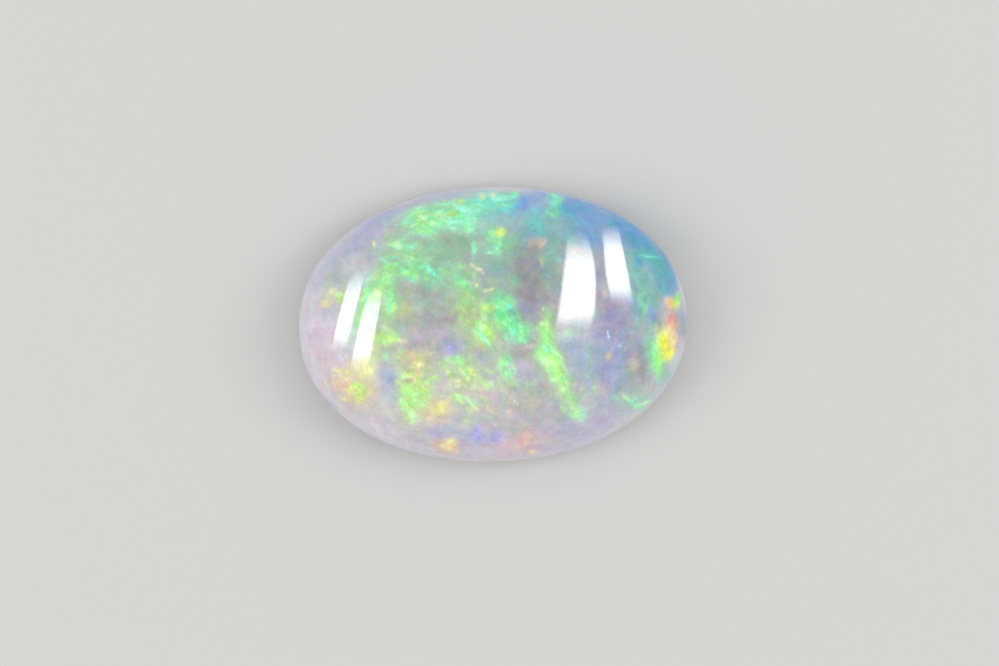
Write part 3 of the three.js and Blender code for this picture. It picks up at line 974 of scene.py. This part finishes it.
class Graph:
    """A node tree being written: each call adds one node and gives what comes out of it."""

    def __init__(self, tree):
        self.tree = tree

    def add(self, kind, inputs=None, **settings):
        node = self.tree.nodes.new(kind)
        for name, value in settings.items():
            setattr(node, name, value)
        for socket, value in (inputs or {}).items():
            self.feed(node.inputs[socket], value)
        return node

    def feed(self, socket, value):
        """Links another node to a socket, or sets the socket to a plain value."""
        if isinstance(value, bpy.types.NodeSocket):
            self.tree.links.new(value, socket)
        else:
            socket.default_value = value

    def math(self, operation, *values, clamp=False):
        inputs = dict(enumerate(values))
        return self.add("ShaderNodeMath", inputs, operation=operation, use_clamp=clamp).outputs[0]

    def line(self, value, slope, start):
        """A value that follows another one in a straight line."""
        return self.math("MULTIPLY_ADD", value, slope, start)

    def scaled(self, value, factor):
        node = self.add("ShaderNodeVectorMath", {0: value, "Scale": factor}, operation="SCALE")
        return node.outputs[0]

    def smooth(self, value, start, end, low=0.0, high=1.0):
        """A smooth step from low at the start to high at the end."""
        inputs = {"Value": value, "From Min": start, "From Max": end, "To Min": low, "To Max": high}
        return self.add("ShaderNodeMapRange", inputs, interpolation_type="SMOOTHSTEP").outputs[0]

    def between(self, share, first, second):
        """A number between two others."""
        return self.add("ShaderNodeMix", {0: share, 2: first, 3: second}, data_type="FLOAT").outputs[0]

    def mix(self, share, first, second, blend="MIX"):
        """A colour with another one laid over it."""
        inputs = {0: share, 6: first, 7: second}
        return self.add("ShaderNodeMix", inputs, data_type="RGBA", blend_type=blend).outputs[2]

    def toned(self, colour, **tones):
        """A colour with other tones, given as Hue, Saturation or Value."""
        return self.add("ShaderNodeHueSaturation", {**tones, "Color": colour}).outputs[0]

    def noise(self, place, scale, detail, roughness):
        """A noise node, whose outputs are a number and a colour."""
        inputs = {"Vector": place, "Scale": scale, "Detail": detail, "Roughness": roughness}
        return self.add("ShaderNodeTexNoise", inputs).outputs

    def split(self, vector):
        return self.add("ShaderNodeSeparateXYZ", {0: vector}).outputs

    def attribute(self, name):
        """What is written on the mesh under a name."""
        return self.add("ShaderNodeAttribute", attribute_name=name).outputs["Vector"]

    def stretched(self, place, turn, length, width):
        """Places measured in lengths and widths of a turned flake."""
        inputs = {
            "Vector": place,
            "Rotation": (0, 0, math.radians(turn)),
            "Scale": (length, width, width),
        }
        return self.add("ShaderNodeMapping", inputs, vector_type="TEXTURE").outputs[0]


def new_material(name):
    """An empty material, and the graph that its nodes are written with."""
    material = bpy.data.materials.new(name)
    material.use_nodes = True
    material.node_tree.nodes.clear()
    return material, Graph(material.node_tree)


def flakes(graph, place, turn, length, width):
    """A field of small slanting flakes with soft edges, from about 0 to 1."""
    stretched = graph.stretched(place, turn, length, width)
    soft = graph.noise(stretched, *FLAKE_NOISE)["Fac"]
    inputs = {"Vector": stretched, "Scale": 1.0, "Smoothness": CELL_SMOOTHNESS}
    cells = graph.add("ShaderNodeTexVoronoi", inputs, feature="SMOOTH_F1", distance="CHEBYCHEV")
    cell = graph.split(cells.outputs["Color"])[0]
    both = graph.line(cell, CELL_SHARE, graph.line(soft, *FLAKE_LINE))
    return graph.math("MAXIMUM", both, 0.0)


def milk_colour(graph, place, grain, fine, drift, calm):
    """The milky body, with its hue drifting, its tone grained, and mottled patches over it."""
    colour = graph.toned(
        graph.attribute("body"),
        Hue=graph.line(drift, *MILK_HUE),
        Saturation=graph.line(grain, *MILK_SATURATION),
        Value=graph.line(grain, MILK_GRAIN, graph.line(fine, *MILK_VALUE)),
    )
    mottle = graph.noise(place, *MOTTLE_NOISE)["Color"]
    return graph.mix(graph.math("MULTIPLY", calm, MILK_MOTTLE), colour, mottle, "OVERLAY")


def fire_colour(graph, grain, drift):
    """The colour of the flakes, brighter with the grain and frosty where that is brightest."""
    colour = graph.toned(
        graph.attribute("fire"),
        Hue=graph.line(drift, *FIRE_HUE),
        Saturation=FIRE_SATURATION,
        Value=graph.line(grain, *FIRE_VALUE),
    )
    return graph.mix(graph.smooth(grain, *FROSTY_GRAIN, 0.0, FROSTY_SHARE), colour, linear(FROST))


def fire_shares(graph, grain, fine):
    """How much of the fire shows in the banks and in the streaks."""
    power = graph.split(graph.attribute("power"))
    bank_tone = graph.line(grain, BANK_GRAIN, graph.line(fine, *BANK_TONE))
    streak_tone = graph.line(fine, *STREAK_TONE)
    bank = graph.math("MULTIPLY", power[0], bank_tone, clamp=True)
    streak = graph.math("MULTIPLY", power[1], streak_tone, clamp=True)
    return bank, streak


def speckled(graph, colour, place, drift, lit, calm):
    """The colour with small lighter and darker speckles, which show most where the stone is lit."""
    speckle = graph.noise(graph.stretched(place, *SPECKLES), *SPECKLE_NOISE)["Fac"]
    share = graph.math("MULTIPLY", graph.line(lit, *SPECKLE_SHARE), calm)
    tone = graph.line(drift, SPECKLE_DRIFT, graph.math("SUBTRACT", speckle, SPECKLE_MIDDLE))
    return graph.toned(colour, Value=graph.line(tone, share, 1.0))


def opal_colour(graph):
    """The stone's colour: the milk, with the banks and then the streaks of fire laid over it."""
    place = graph.scaled(graph.add("ShaderNodeTexCoord").outputs["Object"], 1 / MM)
    x, _, z = graph.split(place)
    slanted = flakes(graph, place, *SLANTED_FLAKES)
    level = flakes(graph, place, *LEVEL_FLAKES)
    grain = graph.between(graph.smooth(x, LEVEL_END, SLANTED_START), level, slanted)
    fine = flakes(graph, place, *FINE_FLAKES)
    drift = graph.noise(place, *DRIFT_NOISE)["Fac"]
    calm = graph.smooth(z, GIRDLE_TOP / MM, GIRDLE_TOP / MM + CALM_HEIGHT, CALM_SHARE, 1.0)
    colour = milk_colour(graph, place, grain, fine, drift, calm)
    fire = fire_colour(graph, grain, drift)
    bank, streak = fire_shares(graph, grain, fine)
    colour = graph.mix(bank, colour, fire)
    colour = graph.mix(streak, colour, fire)
    return speckled(graph, colour, place, drift, graph.math("MAXIMUM", bank, streak), calm)


def opal_material():
    """Milky opal with a bright polish, its flashes broken into flakes."""
    material, graph = new_material("opal")
    inputs = {
        "Base Color": opal_colour(graph),
        "Roughness": POLISH_ROUGHNESS,
        "IOR": OPAL_IOR,
        "Subsurface Weight": SCATTER_SHARE,
        "Subsurface Radius": SCATTER_RADIUS,
        "Subsurface Scale": SCATTER_DEPTH,
    }
    shader = graph.add("ShaderNodeBsdfPrincipled", inputs)
    graph.add("ShaderNodeOutputMaterial", {"Surface": shader.outputs[0]})
    return material


def dress_stone(camera):
    """The finished stone, in place of the plain solid."""
    mesh = stone_mesh()
    paint(mesh, camera)
    mesh.materials.append(opal_material())
    piece = add_object("opal_cabochon", mesh)
    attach(piece, "root")
    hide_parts("cabochon")


def make_camera():
    """A long lens above the stone, turned and moved so that the stone lies as in the photograph."""
    data = bpy.data.cameras.new("camera")
    data.lens = LENS
    data.sensor_width = SENSOR
    data.clip_start = CLIP_START
    camera = add_object("camera", data)
    pixel = 2 * HALF_LENGTH / STONE_PIXELS
    distance = PHOTO_WIDTH * pixel * LENS / SENSOR
    right = (PHOTO_WIDTH / 2 - STONE_CENTRE_X) * pixel
    down = (PHOTO_HEIGHT / 2 - STONE_CENTRE_Y) * pixel
    roll = -STONE_TILT
    right_way = Vector((math.cos(roll), math.sin(roll), 0))
    up_way = Vector((-math.sin(roll), math.cos(roll), 0))
    camera.location = right_way * right - up_way * down + Vector((0, 0, GIRDLE_TOP + distance))
    camera.rotation_euler = (0, 0, roll)
    bpy.context.scene.camera = camera
    return camera.location.copy()


def strip_material(name, radiance, top_fade, bottom_fade):
    """Light that fades towards the ends of a strip and a little at its long edges."""
    material, graph = new_material(name)
    over, up, _ = graph.split(graph.add("ShaderNodeUVMap").outputs["UV"])
    fades = [
        graph.smooth(up, 1.0, 1.0 - top_fade),
        graph.smooth(up, 0.0, bottom_fade),
        graph.smooth(over, 0.0, STRIP_LEFT_FADE),
        graph.smooth(over, 1.0, 1.0 - STRIP_RIGHT_FADE),
    ]
    strength = radiance
    for fade in fades:
        strength = graph.math("MULTIPLY", strength, fade)
    light = graph.add("ShaderNodeEmission", {"Strength": strength})
    graph.add("ShaderNodeOutputMaterial", {"Surface": light.outputs[0]})
    return material


def curve_through(values, t):
    """A parabola through three values, at t from 0 to 1."""
    first, middle, last = values
    return first * (1 - t) * (1 - 2 * t) + middle * 4 * t * (1 - t) + last * t * (2 * t - 1)


def mirrored(point, camera):
    """Where a light stands that the camera sees mirrored at a point of the dome, above the floor."""
    sight = (point - camera).normalized()
    bounce = sight.reflect(dome_normal(point))
    reach = STRIP_DISTANCE
    if bounce.z < 0:
        reach = min(reach, (point.z - STRIP_FLOOR_GAP) / -bounce.z)
    return point + bounce * reach


def strip_mesh(name, rows, camera):
    """A sheet whose mirror image covers the strip's place on the dome, with places on it from 0 to 1."""
    shares = [step / STRIP_STEPS for step in range(STRIP_STEPS + 1)]
    vertices = []
    places = []
    for down in shares:
        y, left, right = (curve_through(values, down) for values in zip(*rows))
        for over in shares:
            vertices.append(mirrored(seen_point(left + (right - left) * over, y, camera), camera))
            places.append((over, 1 - down))
    row_length = len(shares)
    faces = []
    for row in range(STRIP_STEPS):
        for column in range(STRIP_STEPS):
            first = row * row_length + column
            faces.append((first, first + 1, first + row_length + 1, first + row_length))
    mesh = bpy.data.meshes.new(name)
    mesh.from_pydata(vertices, [], faces)
    layer = mesh.uv_layers.new(name="strip")
    for loop in mesh.loops:
        layer.data[loop.index].uv = places[loop.vertex_index]
    return mesh


def make_strip(name, rows, light, camera):
    """A strip light that shows in the polish alone."""
    mesh = strip_mesh(name, rows, camera)
    mesh.materials.append(strip_material(name, *light))
    strip = add_object(name, mesh)
    strip.visible_camera = False
    strip.visible_diffuse = False
    strip.visible_transmission = False
    strip.visible_shadow = False


def make_softbox(name, place):
    """A broad soft light that lights the stone and the floor without showing in the polish."""
    data = bpy.data.lights.new(name, "AREA")
    data.size = SOFTBOX_SIZE
    data.energy = SOFTBOX_WATTS
    light = add_object(name, data)
    light.location = place
    light.rotation_euler = (-Vector(place)).to_track_quat("-Z", "Y").to_euler()
    light.visible_glossy = False


def make_world():
    """Even white light from all around."""
    world = bpy.data.worlds.new("studio")
    world.use_nodes = True
    background = world.node_tree.nodes["Background"]
    background.inputs["Color"].default_value = WHITE
    background.inputs["Strength"].default_value = WORLD_RADIANCE
    bpy.context.scene.world = world


def make_floor():
    """A plain pale floor under the stone."""
    mesh = bpy.data.meshes.new("floor")
    r = FLOOR_RADIUS
    mesh.from_pydata([(-r, -r, 0), (r, -r, 0), (r, r, 0), (-r, r, 0)], [], [(0, 1, 2, 3)])
    material = bpy.data.materials.new("floor")
    material.use_nodes = True
    shader = material.node_tree.nodes["Principled BSDF"]
    shader.inputs["Base Color"].default_value = linear(FLOOR_COLOUR)
    shader.inputs["Roughness"].default_value = FLOOR_ROUGHNESS
    shader.inputs["Specular IOR Level"].default_value = 0.0
    mesh.materials.append(material)
    floor = add_object("floor", mesh)


camera_place = make_camera()
dress_stone(camera_place)
for strip_name, (strip_rows, *strip_light) in STRIPS.items():
    make_strip(strip_name, strip_rows, strip_light, camera_place)
for softbox_name, softbox_place in SOFTBOX_PLACES.items():
    make_softbox(softbox_name, softbox_place)
make_world()
make_floor()
bpy.context.scene.view_settings.view_transform = "Standard"
